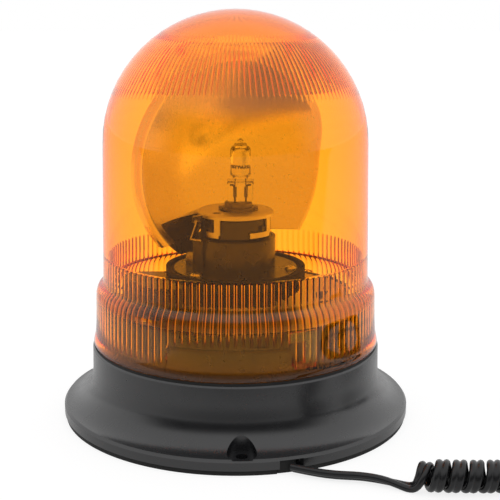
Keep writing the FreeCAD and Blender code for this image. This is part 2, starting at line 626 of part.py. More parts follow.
def reflector_carrier():
    shell = bowl_solid(REFLECTOR_T + 1.7, REFLECTOR_R + 1).cut(
        bowl_solid(REFLECTOR_T + 0.05, REFLECTOR_R + 4))
    drop = LIGHT_CENTRE
    shell = shell.common(fused(box(-36, 1, 0.4, 40, 72.0 - drop, 93.0 - drop),
                               box(0, 36, 0.4, 40, LIP_END - drop, 93.0 - drop)))
    shell = shell.common(disc_y(REFLECTOR_R - 1.0, 0, 40))
    wing = seat_bowl(shell).cut(cyl(ROTOR_CLEAR_R, HUB_TOP - 0.2, 95)).cut(cyl(HUB_R, 60, HUB_TOP))
    sleeve = ring(SLEEVE_R, HUB_R, TURNTABLE_TOP, HUB_TOP - 0.2)
    flange = ring(26.6, HUB_R, TURNTABLE_TOP, TURNTABLE_TOP + FLANGE_T)
    clip_block = box(SLEEVE_R - 1, CLIP_BLOCK_R, -5, 5, TURNTABLE_TOP, HUB_TOP - 0.2)
    clip_block.rotate(ORIGIN, UP, CLIP_ANGLE)
    body = fused(sleeve, flange, wing, clip_block)
    for a in (-133, -13, 107):
        body = body.cut(cyl(1.5, 60, 66, at(24, a)))
    return body


def wire(points, radius):
    """Bent round wire: straight cylinders with a ball at each bend."""
    pts = [V(*p) for p in points]
    pieces = []
    for a, b in zip(pts, pts[1:]):
        pieces.append(Part.makeCylinder(radius, (b - a).Length, a, b - a))
    pieces += [Part.makeSphere(radius, p) for p in pts[1:-1]]
    return fused(pieces[0], *pieces[1:])


def rotor_fixings():
    seat = TURNTABLE_TOP + FLANGE_T
    screws = [pan_screw(at(24, a), seat, 2.4, 1.2, 1.1, 4.2) for a in (-133, -13, 107)]
    return Part.makeCompound(screws)


def reflector_clip():
    """Spring wire bearing on the carrier's block, under a tongue that holds the bowl's cut edge."""
    spring = wire([(-16.2, -12.2, 86.4), (-18.8, -11.0, 78.3), (-14.2, -14.0, 78.3)], 0.5)
    tongue = box(-2.2, 2.2, -0.3, 0.3, -1.6, 1.6)
    tongue.rotate(ORIGIN, V(1, 0, 0), 24)
    tongue.rotate(ORIGIN, UP, REFLECTOR_FACING + 90)
    tongue.translate(V(-16.0, -11.8, 87.2))
    return fused(spring, tongue)


# ---------------------------------------------------------------- electrics in the base
def base_electrics():
    radial = math.degrees(math.atan2(CABLE_BEND.y, CABLE_BEND.x))
    route = [at(58.6, radial, 5.4), at(54.2, radial, 5.4), at(53.4, radial, 18.0),
             V(20.0, -40.0, 31.0), V(17.0, 12.0, 32.0), V(15.0, 37.0, 35.2)]
    lead = tube_along([(p.x, p.y, p.z) for p in route], 1.5)
    block = box(6, 24, 31, 43, 37.0, 48.8)
    terminals = []
    for x in (8, 16):
        block = block.cut(box(x, x + 5, 30, 34, 40, 45))
        terminals.append(box(x + 0.6, x + 4.4, 31, 34, 40.4, 44.6))
    can = fused(cyl(6.0, 28.0, 46.0, at(40, 130)), cyl(5.2, 46.0, 48.8, at(40, 130)))
    return {"supply_lead": lead, "terminal_block": block, "suppressor": can,
            "terminals": Part.makeCompound(terminals)}


# ---------------------------------------------------------------- plug on the far end
def lay_plug(shape):
    """Turn a shape made about the X axis to the plug's place on the floor."""
    shape.rotate(ORIGIN, UP, PLUG_HEADING)
    end = PLUG_ROUTE[-1]
    shape.translate(V(end[0], end[1], PLUG_AXIS_Z))
    return shape


def turned_x(points):
    """Solid of revolution about the X axis from (x, radius) points."""
    body = turned([(r, x) for x, r in points])
    body.rotate(ORIGIN, V(0, 1, 0), 90)
    return body


def plug_parts():
    relief = turned_x([(0, 0), (0, 3.3), (12, 4.4), (15, 5.2), (15, 0)])
    for i in range(3):
        relief = relief.cut(turned_x([(3 + 3 * i, 3.2), (3 + 3 * i, 9), (4.2 + 3 * i, 9),
                                      (4.2 + 3 * i, 3.2)]))
    body = turned_x([(15, 0), (15, 6.6), (17, 8.6), (24, 10.2), (40, 10.6), (42, 9.9), (66, 9.6),
                     (66, 7.4), (68, 7.4), (68, 5.4), (36, 5.4), (36, 0)])
    body = body.cut(box(47, 63, 4, 12, -2.6, 2.6)).cut(box(47, 63, -12, -4, -2.6, 2.6))
    cap = turned_x([(66.0, 7.45), (66.0, 9.4), (72.5, 8.4), (74.0, 7.0), (74.0, 3.1), (72.6, 3.1),
                    (72.6, 5.0), (68.05, 5.0), (68.05, 7.45)])
    tip = turned_x([(69.4, 0), (69.4, 4.6), (71.4, 4.6), (71.4, 2.9), (76.4, 2.9), (78.0, 1.6),
                    (78.3, 0)])
    fuse = turned_x([(41.0, 0), (41.0, 3.2), (69.4, 3.2), (69.4, 0)])
    spring = turned_x([(36.0, 1.9), (36.0, 3.2), (38.3, 3.2), (38.3, 1.9)])
    contacts = []
    for side in (1, -1):
        outline = [(48.2, 6.2), (61.8, 6.2), (61.8, 7.6), (60.6, 9.6), (57.6, 10.6), (52.4, 10.6),
                   (49.4, 9.6), (48.2, 7.6)]
        contacts.append(extruded([(x, y * side) for x, y in outline], -2.2, 2.2))
    names = {"plug_strain_relief": relief, "plug_body": body, "plug_cap": cap, "plug_tip": tip,
             "plug_fuse": fuse, "plug_tip_spring": spring, "plug_contact_left": contacts[0],
             "plug_contact_right": contacts[1]}
    return {name: lay_plug(shape) for name, shape in names.items()}


# ---------------------------------------------------------------- assembly
def all_parts():
    parts = {"base_housing": base_housing(), "foot_gasket": foot_gasket(),
             "base_plate": base_plate(), "base_plate_screws": plate_screws(),
             "cable_grommet": cable_grommet(), "chassis_plate": chassis_plate(),
             "gear_cover": gear_cover(), "bulb_socket": bulb_socket(),
             "socket_screws": socket_screws(), "bulb_clamp": bulb_clamp(),
             "reflector": reflector(), "reflector_carrier": reflector_carrier(),
             "reflector_clip": reflector_clip(), "rotor_screws": rotor_fixings(),
             "lens": lens(), "lens_seal": ring(61.4, 58.2, COLLAR_TOP, LENS_BOTTOM)}
    screws = [pan_screw(at(50, a), PLATE_TOP, 2.6, 1.6, 1.25, 8) for a in (105, 225, 345)]
    parts["chassis_screws"] = Part.makeCompound(screws)
    for group in (magnet_parts(), motor_parts(), gears(), idler_fixings(), post_parts(),
                  lamp_parts(), base_electrics(), plug_parts()):
        parts.update(group)
    parts["cord_tail"] = tube_along(TAIL_ROUTE, CORD_R)
    parts["coiled_cord"] = tube_along(COIL_ROUTE, COIL_R)
    parts["plug_tail"] = tube_along(PLUG_ROUTE, CORD_R)
    return parts


os.makedirs("parts", exist_ok=True)
for name, shape in sorted(all_parts().items()):
    print(name, len(shape.Solids), round(shape.Volume, 1), shape.isValid())
    shape.exportStep("parts/" + name + ".step")
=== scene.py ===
import bisect
import json
import math

import bmesh
import bpy
from mathutils import Matrix, Vector

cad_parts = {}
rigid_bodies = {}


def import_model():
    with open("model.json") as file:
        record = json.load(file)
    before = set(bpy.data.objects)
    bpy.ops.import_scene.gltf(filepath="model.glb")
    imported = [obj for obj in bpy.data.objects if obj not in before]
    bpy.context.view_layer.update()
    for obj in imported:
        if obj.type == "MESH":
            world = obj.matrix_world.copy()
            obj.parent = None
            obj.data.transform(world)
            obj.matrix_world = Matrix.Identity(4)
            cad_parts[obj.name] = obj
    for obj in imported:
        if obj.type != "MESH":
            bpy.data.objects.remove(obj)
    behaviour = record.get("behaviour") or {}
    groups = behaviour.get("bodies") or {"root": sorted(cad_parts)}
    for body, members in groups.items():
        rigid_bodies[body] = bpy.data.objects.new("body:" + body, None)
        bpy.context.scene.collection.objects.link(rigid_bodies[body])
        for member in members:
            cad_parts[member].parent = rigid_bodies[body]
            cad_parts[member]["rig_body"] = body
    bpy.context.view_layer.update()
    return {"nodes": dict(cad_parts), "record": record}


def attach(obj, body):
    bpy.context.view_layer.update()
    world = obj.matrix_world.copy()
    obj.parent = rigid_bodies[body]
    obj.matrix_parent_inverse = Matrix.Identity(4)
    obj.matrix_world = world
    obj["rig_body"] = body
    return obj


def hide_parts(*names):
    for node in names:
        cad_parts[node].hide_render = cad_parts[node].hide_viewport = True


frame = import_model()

MM = 0.001
TURN = 2 * math.pi
UP = Vector((0, 0, 1))

# ---------------------------------------------------------------- shader expressions


class Signal:
    """A shader output that takes arithmetic: each operator adds its Math node."""

    def __init__(self, graph, output):
        self.graph = graph
        self.output = output

    def _math(self, operation, first, second):
        return self.graph.node("Math", {"operation": operation}, {0: first, 1: second})

    def __add__(self, other):
        return self._math("ADD", self, other)

    def __radd__(self, other):
        return self._math("ADD", other, self)

    def __sub__(self, other):
        return self._math("SUBTRACT", self, other)

    def __rsub__(self, other):
        return self._math("SUBTRACT", other, self)

    def __mul__(self, other):
        return self._math("MULTIPLY", self, other)

    def __rmul__(self, other):
        return self._math("MULTIPLY", other, self)

    def __pow__(self, other):
        return self._math("POWER", self, other)


class Graph:
    """A node tree whose nodes are added as they are used."""

    def __init__(self, tree):
        self.tree = tree

    def node(self, kind, settings=(), sockets=(), output=0):
        """Any node: its settings are set first, then its sockets get values or links."""
        made = self.tree.nodes.new("ShaderNode" + kind)
        for name, value in dict(settings).items():
            if name == "stops":
                for spare in range(len(value) - 2):
                    made.color_ramp.elements.new(0.5)
                for element, (place, colour) in zip(made.color_ramp.elements, value):
                    element.position = place
                    element.color = (*colour, 1.0)
            else:
                setattr(made, name, value)
        for socket, value in dict(sockets).items():
            if isinstance(value, Signal):
                self.tree.links.new(value.output, made.inputs[socket])
            else:
                made.inputs[socket].default_value = value
        return Signal(self, made.outputs[output])

    def ramp(self, value, start, end):
        """0 up to start, 1 from end, smooth between."""
        return self.node("MapRange", {"interpolation_type": "SMOOTHSTEP"},
                         {"Value": value, "From Min": start, "From Max": end}, "Result")

    def rays(self, *kinds):
        """1 for light rays of any of the kinds."""
        path = self.node("LightPath").output.node
        total = Signal(self, path.outputs[kinds[0]])
        for kind in kinds[1:]:
            total = total + Signal(self, path.outputs[kind])
        return total


class Look(Graph):
    """A node-built finish around one Principled shader."""

    def __init__(self, name, **constants):
        self.material = bpy.data.materials.new(name)
        self.material.use_nodes = True
        super().__init__(self.material.node_tree)
        self.shader = self.tree.nodes["Principled BSDF"]
        for socket, value in constants.items():
            self.shader.inputs[socket.replace("_", " ")].default_value = value

    def put(self, socket, signal):
        self.tree.links.new(signal.output, self.shader.inputs[socket])

    def place(self, stretch=(1, 1, 1)):
        """Object coordinates, stretched along an axis for brushed or drawn grain."""
        spot = self.node("TexCoord", output="Object")
        return self.node("Mapping", {}, {"Vector": spot, "Scale": stretch})

    def noise(self, scale, detail=3.0, stretch=(1, 1, 1)):
        """Cloudy pattern from 0 to 1; scale is in features to the metre."""
        return self.node("TexNoise", {}, {"Vector": self.place(stretch), "Scale": scale,
                                          "Detail": detail}, "Fac")

    def between(self, mask, first, second):
        """Colour that goes from first to second with a mask."""
        return self.node("Mix", {"data_type": "RGBA"}, {0: mask, 6: (*first, 1), 7: (*second, 1)}, 2)

    def relief(self, height, depth, strength=1.0):
        """Bump of a height pattern, its depth in metres."""
        self.put("Normal", self.node("Bump", {}, {"Height": height, "Distance": depth,
                                                  "Strength": strength}))


def moulded(name, dark, light, rough, grain=1400.0, depth=0.00004, shine=0.45):
    """Moulded plastic: slight mottling, uneven sheen and a fine sparked grain."""
    look = Look(name, Specular_IOR_Level=shine)
    mottle = look.noise(55.0)
    look.put("Base Color", look.between(mottle, dark, light))
    look.put("Roughness", look.noise(160.0) * 0.12 + (rough - 0.06))
    look.relief(look.noise(grain, 2.0), depth, 0.6)
    return look.material


def metal(name, dark, light, rough, stretch=(1, 1, 1), depth=0.00002):
    """Metal with drawn or rolled grain along the axis that isn't stretched."""
    look = Look(name, Metallic=1.0)
    look.put("Base Color", look.between(look.noise(90.0), dark, light))
    grain = look.noise(900.0, 4.0, stretch)
    look.put("Roughness", grain * 0.2 + (rough - 0.1))
    look.relief(grain, depth, 0.35)
    return look.material


def clear(name, tint, rough, ior):
    """Clear glass with faint drawn streaks."""
    look = Look(name, Transmission_Weight=1.0, IOR=ior, Base_Color=(*tint, 1))
    look.put("Roughness", look.noise(300.0) * 0.03 + rough)
    look.relief(look.noise(120.0, 1.0, (1, 1, 0.2)), 0.00005, 0.2)
    return look.material


def amber_plastic():
    """Clear amber moulding: the colour deepens with the thickness that light goes through."""
    look = Look("amber_lens", Transmission_Weight=1.0, IOR=1.49,
                Base_Color=(1.0, 0.975, 0.94, 1.0))
    look.put("Roughness", look.noise(40.0) * 0.02 + 0.002)
    look.relief(look.noise(28.0, 1.0), 0.0002, 0.1)
    depth = look.node("VolumeAbsorption", {}, {"Color": (0.994, 0.765, 0.01, 1.0),
                                               "Density": 1150.0})
    out = look.tree.nodes["Material Output"]
    look.tree.links.new(depth.output, out.inputs["Volume"])
    return look.material


LOOKS = {
    "black_moulding": moulded("black_moulding", (0.009, 0.009, 0.010), (0.013, 0.013, 0.015), 0.26,
                              1400.0, 0.00002, 0.85),
    "black_nylon": moulded("black_nylon", (0.014, 0.013, 0.013), (0.022, 0.021, 0.020), 0.62,
                           shine=0.15),
    "black_rubber": moulded("black_rubber", (0.016, 0.016, 0.016), (0.030, 0.029, 0.028), 0.75,
                            900.0, 0.00008),
    "cord_black": moulded("cord_black", (0.009, 0.009, 0.010), (0.016, 0.016, 0.018), 0.3,
                          1100.0, 0.00002),
    "white_nylon": moulded("white_nylon", (0.72, 0.70, 0.63), (0.84, 0.82, 0.76), 0.5),
    "ferrite": moulded("ferrite", (0.05, 0.05, 0.055), (0.11, 0.11, 0.115), 0.7, 700.0, 0.00006),
    "suppressor_sleeve": moulded("suppressor_sleeve", (0.05, 0.1, 0.28), (0.07, 0.13, 0.34), 0.35),
    "zinc_steel": metal("zinc_steel", (0.70, 0.69, 0.64), (0.84, 0.82, 0.77), 0.42, (1, 0.06, 1)),
    "bright_fixings": metal("bright_fixings", (0.60, 0.60, 0.60), (0.78, 0.78, 0.77), 0.28),
    "spring_steel": metal("spring_steel", (0.48, 0.48, 0.49), (0.62, 0.62, 0.63), 0.25),
    "brass": metal("brass", (0.62, 0.43, 0.16), (0.80, 0.60, 0.27), 0.28),
    "lamp_metal": metal("lamp_metal", (0.16, 0.15, 0.14), (0.30, 0.28, 0.26), 0.4),
    "bright_reflector": metal("bright_reflector", (0.90, 0.90, 0.90), (0.95, 0.95, 0.95), 0.24),
    "lamp_glass": clear("lamp_glass", (0.98, 0.99, 1.0), 0.0, 1.46),
    "fuse_glass": clear("fuse_glass", (0.90, 0.93, 0.94), 0.02, 1.5),
    "amber_lens": amber_plastic(),
}
SLOT_OF = {part["node"]: part["material_slot"] for part in frame["record"]["subparts"]}

# ---------------------------------------------------------------- modelling helpers


def arc(centre, radius, start, end, steps):
    """Points of an arc in a profile; angles in degrees from the outward direction."""
    turns = [math.radians(start + (end - start) * i / steps) for i in range(steps + 1)]
    return [(centre[0] + radius * math.cos(a), centre[1] + radius * math.sin(a)) for a in turns]


def lathe(bm, profile, steps=96, angle=TURN):
    """Spin a profile of (radius, height) about the Z axis; returns its new vertices."""
    before = set(bm.verts)
    verts = [bm.verts.new((r, 0, z)) for r, z in profile]
    edges = [bm.edges.new(pair) for pair in zip(verts, verts[1:])]
    bmesh.ops.spin(bm, geom=verts + edges, axis=UP, cent=(0, 0, 0), angle=angle, steps=steps,
                   use_merge=angle == TURN)
    return [v for v in bm.verts if v not in before]


def repeat_around(bm, count):
    """Copy a sector of a mesh around the Z axis and weld the joins."""
    sector = bm.verts[:] + bm.edges[:] + bm.faces[:]
    for k in range(1, count):
        copy = bmesh.ops.duplicate(bm, geom=sector)["geom"]
        bmesh.ops.rotate(bm, cent=(0, 0, 0), matrix=Matrix.Rotation(TURN * k / count, 3, "Z"),
                         verts=[v for v in copy if isinstance(v, bmesh.types.BMVert)])
    bmesh.ops.remove_doubles(bm, verts=bm.verts, dist=0.0004)


def wall_block(bm, outline, outer_r, inner_r, soft=0.25):
    """Block standing on a round wall: its outline is in degrees and heights."""
    corners = []
    for angle, z in outline:
        a = math.radians(angle)
        corners.append(bm.verts.new((outer_r * math.cos(a), outer_r * math.sin(a), z)))
    face = bm.faces.new(corners)
    made = bmesh.ops.extrude_face_region(bm, geom=[face])["geom"]
    pushed = [v for v in made if isinstance(v, bmesh.types.BMVert)]
    share = inner_r / outer_r
    bmesh.ops.scale(bm, vec=(share, share, 1.0), verts=pushed)
    edges = list({e for v in corners + pushed for e in v.link_edges})
    bmesh.ops.bevel(bm, geom=edges, offset=soft, segments=2, affect="EDGES", profile=0.5,
                    material=-1)


def join(bm, other):
    """Add another mesh to this one."""
    mesh = bpy.data.meshes.new("joined")
    other.to_mesh(mesh)
    other.free()
    bm.from_mesh(mesh)
    bpy.data.meshes.remove(mesh)


def settle(bm, crease):
    """Close seams and poles, face outwards, and shade smooth up to a crease angle."""
    bmesh.ops.remove_doubles(bm, verts=bm.verts, dist=0.0004)
    bmesh.ops.recalc_face_normals(bm, faces=bm.faces)
    for face in bm.faces:
        face.smooth = True
    for edge in bm.edges:
        edge.smooth = len(edge.link_faces) == 2 and edge.calc_face_angle() < math.radians(crease)


def piece(name, bm, slot, *nodes, body=None, crease=35.0, unit=MM):
    """Finish a mesh as a piece that rides on a body, takes a slot and stands for CAD nodes."""
    settle(bm, crease)
    bmesh.ops.scale(bm, vec=(unit, unit, unit), verts=bm.verts)
    mesh = bpy.data.meshes.new(name)
    bm.to_mesh(mesh)
    bm.free()
    mesh.materials.append(LOOKS[slot])
    thing = bpy.data.objects.new(name, mesh)
    bpy.context.scene.collection.objects.link(thing)
    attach(thing, body or frame["nodes"][nodes[0]]["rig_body"])
    if nodes:
        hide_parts(*nodes)
    return thing


def polished(node, edge_mm=0.2, crease=28.0):
    """The CAD node's own form with merged faces, softened edges and smooth curved walls."""
    bm = bmesh.new()
    bm.from_mesh(frame["nodes"][node].data)
    bmesh.ops.scale(bm, vec=(1 / MM, 1 / MM, 1 / MM), verts=bm.verts)
    bmesh.ops.remove_doubles(bm, verts=bm.verts, dist=0.002)
    bmesh.ops.dissolve_limit(bm, angle_limit=math.radians(0.4), verts=bm.verts, edges=bm.edges)
    thing = piece(node + "_finish", bm, SLOT_OF[node], node, crease=crease)
    if edge_mm:
        soften = thing.modifiers.new("soft_edges", "BEVEL")
        soften.width = edge_mm * MM
        soften.segments = 2
        soften.limit_method = "ANGLE"
        soften.angle_limit = math.radians(crease)
        soften.harden_normals = True
    return thing


# ---------------------------------------------------------------- lens
LENS_BOTTOM = 32.3
LENS_TOP = 172.8
DOME_R = 55.8
LENS_WALL = 2.0
WALL_TOP = (55.7, 118.0)
SECTORS = 15
COLUMNS = 72             # in a sector: nine to a skirt rib, eight to a crown rib
RIB_COUNT = 120
RIB_H = 0.6
RIB_BOTTOM = 37.0
RIB_TOP = 70.9
CROWN_RIB_COUNT = 135
CROWN_RIB_H = 0.4
CROWN_RIB_BOTTOM = 140.8
CROWN_RIB_TOP = 160.0
WINDOW = (-117.5, -67.6)
WINDOW_TOP = 44.4
WINDOW_CORNER = 3.0
WINDOW_BEAD = 0.35
LUG_ANGLES = (-62.0, 58.0, 178.0)
LUG_BAR = (-0.5, 4.5)
LUG_ARM = (-7.0, 46.5, 50.6)
LUG_FOOT = (-4.5, 35.5, 38.0)


def rise(value, start, end):
    """0 before start, 1 after end, rounded between."""
    t = min(1.0, max(0.0, (value - start) / (end - start)))
    return t * t * (3 - 2 * t)


def rib_share(angle, count):
    """1 on a rib's crest, 0 in the wide gap between ribs."""
    off = abs((angle * count / 360.0 + 0.5) % 1.0 - 0.5)
    return 1.0 - rise(off, 0.08, 0.2)


def window_side(angle):
    """Distance in from the nearer side of the plain window in the skirt; negative outside it."""
    return min(angle - WINDOW[0], WINDOW[1] - angle) * math.radians(1.0) * 59.0


def window_top(side):
    short = min(max(0.0, WINDOW_CORNER - side), WINDOW_CORNER)
    return WINDOW_TOP - WINDOW_CORNER + math.sqrt(WINDOW_CORNER ** 2 - short ** 2)


def raise_ribs(vert):
    """Push one vertex of the lens's inner wall inwards where a rib or the window's bead stands."""
    angle = math.degrees(math.atan2(vert.co.y, vert.co.x))
    z = vert.co.z
    if z < 100:
        side = window_side(angle)
        top = window_top(side)
        low = top + 1.2 if side > -0.8 else RIB_BOTTOM
        tall = rise(z, low, low + 0.9) * (1 - rise(z, RIB_TOP - 0.9, RIB_TOP))
        bead = 0.0
        if z > RIB_BOTTOM and side > -0.3:
            bead = 1.0 if side < 0.3 and z < top + 0.4 or abs(z - top) < 0.4 else 0.0
        inward = Vector((-vert.co.x, -vert.co.y, 0)).normalized()
        vert.co += inward * (RIB_H * tall * rib_share(angle, RIB_COUNT) + WINDOW_BEAD * bead)
    elif z > CROWN_RIB_BOTTOM:
        tall = rise(z, CROWN_RIB_BOTTOM, CROWN_RIB_BOTTOM + 0.9)
        tall *= 1 - rise(z, CROWN_RIB_TOP - 0.5, CROWN_RIB_TOP)
        inward = (Vector((0, 0, LENS_TOP - DOME_R)) - vert.co).normalized()
        vert.co += inward * CROWN_RIB_H * tall * rib_share(angle, CROWN_RIB_COUNT)


def dome_angle(z, radius):
    return math.degrees(math.asin((z - (LENS_TOP - DOME_R)) / radius))


def lens_cover():
    centre = (0.0, LENS_TOP - DOME_R)
    inner_r = DOME_R - LENS_WALL
    outer = [(60.7, LENS_BOTTOM), (61.3, 32.45), (61.55, 32.9), (60.95, 35.6), (60.6, 37.4),
             (60.3, 42.6), (60.1, 49.0)]
    outer += [(60.05, 52.4), (59.9, 54.4), (59.5, 56.0), (58.9, 57.2), (58.1, 58.1), (57.4, 58.6),
              (57.0, 59.2), (56.85, 60.4), (56.83, 61.2), (56.8, 62.4)]
    outer += [WALL_TOP]
    outer += arc(centre, DOME_R, 7.0, 90.0, 15)
    inner = [(59.3, LENS_BOTTOM), (59.2, 34.0), (58.95, 36.9), (58.93, 37.3), (58.9, 37.9),
             (58.77, 41.4), (58.74, 42.6), (58.72, 43.4), (58.71, 43.9), (58.7, 44.25), (58.69, 44.55),
             (58.68, 44.9), (58.66, 45.6), (58.62, 46.5), (58.4, 51.6),
             (58.1, 53.6), (57.5, 55.4), (56.6, 57.0), (55.7, 58.2), (55.2, 59.4), (55.0, 64.0),
             (54.92, 69.9), (54.91, 70.4), (54.9, 70.9), (54.8, 71.1), (54.79, 71.4),
             (54.77, 72.2), (WALL_TOP[0] - LENS_WALL, WALL_TOP[1])]
    low = dome_angle(CROWN_RIB_BOTTOM, inner_r)
    high = dome_angle(CROWN_RIB_TOP, inner_r)
    inner += arc(centre, inner_r, 7.0, low, 5)
    inner += arc(centre, inner_r, low + 0.6, low + 1.3, 1)
    inner += arc(centre, inner_r, low + 5.0, high - 3.0, 3)
    inner += arc(centre, inner_r, high - 0.7, high, 2)
    inner += arc(centre, inner_r, high + 5.0, 90.0, 6)
    bm = bmesh.new()
    lathe(bm, inner, COLUMNS, TURN / SECTORS)
    repeat_around(bm, SECTORS)
    for vert in bm.verts:
        raise_ribs(vert)
    outside = bmesh.new()
    lathe(outside, outer, COLUMNS, TURN / SECTORS)
    repeat_around(outside, SECTORS)
    join(bm, outside)
    rims = [edge for edge in bm.edges if edge.is_boundary]
    bmesh.ops.bridge_loops(bm, edges=rims)
    for a in LUG_ANGLES:
        bar_low, bar_high = a + LUG_BAR[0], a + LUG_BAR[1]
        arm, arm_low, arm_high = LUG_ARM
        foot, foot_low, foot_high = LUG_FOOT
        wall_block(bm, [(bar_high, foot_low), (bar_high, arm_high), (a + arm, arm_high),
                        (a + arm, arm_low), (bar_low, arm_low), (bar_low, foot_high),
                        (a + foot, foot_high), (a + foot, foot_low)], 58.95, 57.0)
    return piece("lens_cover", bm, "amber_lens", "lens", crease=50.0)


# ---------------------------------------------------------------- reflector
FOCAL = 22.0
BOWL_R = 45.0
LIGHT_CENTRE = 107.7
FACING = -59.0
BOWL_CUT = 85.5
LIP_END = 77.0
BAND_R = 41.8
ROTOR_CLEAR = (17.3, 89.2)   # radius and top of the lamp socket's space
TAPER = 0.1                  # share of its width that the bowl's right half loses
TAPER_BETWEEN = (130.0, 105.0)


def bowl_curve(start, end, steps):
    """Parabola of the bowl in its own frame: radius from its axis, and depth along it."""
    radii = [start + (end - start) * i / steps for i in range(steps + 1)]
    return [(r, r * r / (4 * FOCAL) - FOCAL) for r in radii]


def cut_below(bm, geometry, height):
    """Cut a sheet of the bowl's frame, standing upright, below a height."""
    bmesh.ops.bisect_plane(bm, geom=geometry, plane_co=(0, height - LIGHT_CENTRE, 0),
                           plane_no=(0, -1, 0), clear_outer=True, dist=0.0001)


def cut_sheet(bm, verts, left, right):
    """Cut a sheet of the bowl's frame below one height on its left and another on its right."""
    faces = {f for v in verts for f in v.link_faces}
    edges = {e for v in verts for e in v.link_edges}
    bmesh.ops.bisect_plane(bm, geom=verts + list(edges) + list(faces), plane_co=(0, 0, 0),
                           plane_no=(1, 0, 0), dist=0.0001)
    for side, height in ((-1, left), (1, right)):
        half = [f for f in bm.faces if f.calc_center_median().x * side > 0
                and all(v in verts or abs(v.co.x) < 0.001 for v in f.verts)]
        around = list({v for f in half for v in f.verts}) + list({e for f in half for e in f.edges})
        cut_below(bm, around + half, height)


def clear_socket(bm):
    """Take away what lies inside the round space that the lamp socket turns in."""
    def inside(vert):
        return vert.co.z < ROTOR_CLEAR[1] and vert.co.xy.length < ROTOR_CLEAR[0]
    gone = [f for f in bm.faces if all(inside(v) for v in f.verts)]
    bmesh.ops.delete(bm, geom=gone, context="FACES")
    for vert in bm.verts:
        if inside(vert):
            out = ROTOR_CLEAR[0] / vert.co.xy.length
            vert.co.x *= out
            vert.co.y *= out


def taper(verts):
    """Narrow the bowl's right half toward the turntable."""
    turned = math.radians(FACING + 90)
    right = Vector((math.cos(turned), math.sin(turned), 0))
    for vert in verts:
        across = vert.co.dot(right)
        low = rise(-vert.co.z, -TAPER_BETWEEN[0], -TAPER_BETWEEN[1])
        vert.co -= right * across * rise(across, 0.0, BOWL_R) * TAPER * low


def reflector_bowl():
    bm = bmesh.new()
    rim = bowl_curve(BAND_R, BOWL_R, 4)
    rim += [(45.5, rim[-1][1] + 0.12), (46.5, rim[-1][1] + 0.1), (46.85, rim[-1][1] - 0.3),
            (46.9, rim[-1][1] - 2.8)]
    lathe(bm, rim, 256)
    bmesh.ops.remove_doubles(bm, verts=bm.verts, dist=0.0004)
    cut_below(bm, bm.verts[:] + bm.edges[:] + bm.faces[:], LIP_END)
    bowl = bmesh.new()
    lathe(bowl, bowl_curve(0.0, BAND_R, 34), 256)
    bmesh.ops.remove_doubles(bowl, verts=bowl.verts, dist=0.0004)
    cut_sheet(bowl, bowl.verts[:], BOWL_CUT, LIP_END)
    join(bm, bowl)
    to_world = (Matrix.Translation((0, 0, LIGHT_CENTRE))
                @ Matrix.Rotation(math.radians(FACING), 4, "Z")
                @ Matrix.Rotation(math.radians(90), 4, "Y")
                @ Matrix.Rotation(math.radians(90), 4, "Z"))
    bmesh.ops.transform(bm, matrix=to_world, verts=bm.verts)
    taper(bm.verts)
    clear_socket(bm)
    bowl = piece("reflector_bowl", bm, "bright_reflector", "reflector", crease=40.0)
    wall = bowl.modifiers.new("wall", "SOLIDIFY")
    wall.thickness = 0.8 * MM
    wall.offset = 1.0
    return bowl


# ---------------------------------------------------------------- lead
CORD_W = 5.4
CORD_T = 2.75
COIL_D = 12.3
PITCH = 6.3
TURN_POINTS = 12         # control points to a turn of the curl
START_TURN = -90.0
EASE_TURNS = 0.75        # turns over which each end of the curl eases into the straight lead
EASE_PITCHES = 0.5       # extra way along the route that those turns take
TAIL_TILT = math.radians(38)
CORD_STEP = 0.0011
TAIL_ROUTE = [(21.8, -71.8, 2.75), (29.5, -75.9, 2.75), (38.0, -78.6, 2.75), (47.2, -79.4, 2.75),
              (55.4, -82.6, 2.75), (62.8, -86.8, 2.8)]
COIL_ROUTE = [(62.8, -86.8, 6.25), (87.8, -89.8, 6.25), (125.0, -85.6, 6.25), (199.0, -90.4, 6.25),
              (244.0, -59.0, 6.25), (249.0, -1.0, 6.25), (206.0, 36.0, 6.25), (154.0, 27.0, 6.25),
              (132.5, -12.0, 6.25)]
PLUG_ROUTE = [(132.5, -12.0, 3.4), (127.6, -21.4, 2.85), (127.0, -33.0, 2.75), (133.2, -43.6, 2.9),
              (144.4, -48.4, 5.4), (155.6, -46.6, 9.2), (164.0, -42.4, 10.9)]


class Line:
    """Smooth line of a NURBS spline through a route's control points, all in metres."""

    def __init__(self, route, fineness):
        self.places = self.read(route, fineness)
        self.run = [0.0]
        for a, b in zip(self.places, self.places[1:]):
            self.run.append(self.run[-1] + (b - a).length)
        self.length = self.run[-1]

    @staticmethod
    def read(route, fineness):
        curve = bpy.data.curves.new("route", "CURVE")
        curve.dimensions = "3D"
        spline = curve.splines.new("NURBS")
        spline.points.add(len(route) - 1)
        for point, place in zip(spline.points, route):
            point.co = (*place, 1.0)
        spline.order_u = 3
        spline.use_endpoint_u = True
        spline.resolution_u = fineness
        carrier = bpy.data.objects.new("route", curve)
        bpy.context.scene.collection.objects.link(carrier)
        bpy.context.view_layer.update()
        line = bpy.data.meshes.new_from_object(carrier)
        places = [v.co.copy() for v in line.vertices]
        bpy.data.objects.remove(carrier)
        bpy.data.meshes.remove(line)
        return places

    def spot(self, distance):
        """Index of the read place before a distance, and the share of the way to the next."""
        i = min(max(bisect.bisect_right(self.run, distance) - 1, 0), len(self.run) - 2)
        gap = max(self.run[i + 1] - self.run[i], 1e-9)
        return i, min(max((distance - self.run[i]) / gap, 0.0), 1.0)

    def at(self, distance):
        i, share = self.spot(distance)
        return self.places[i].lerp(self.places[i + 1], share)

    def heading(self, distance, reach=0.0006):
        return (self.at(distance + reach) - self.at(distance - reach)).normalized()


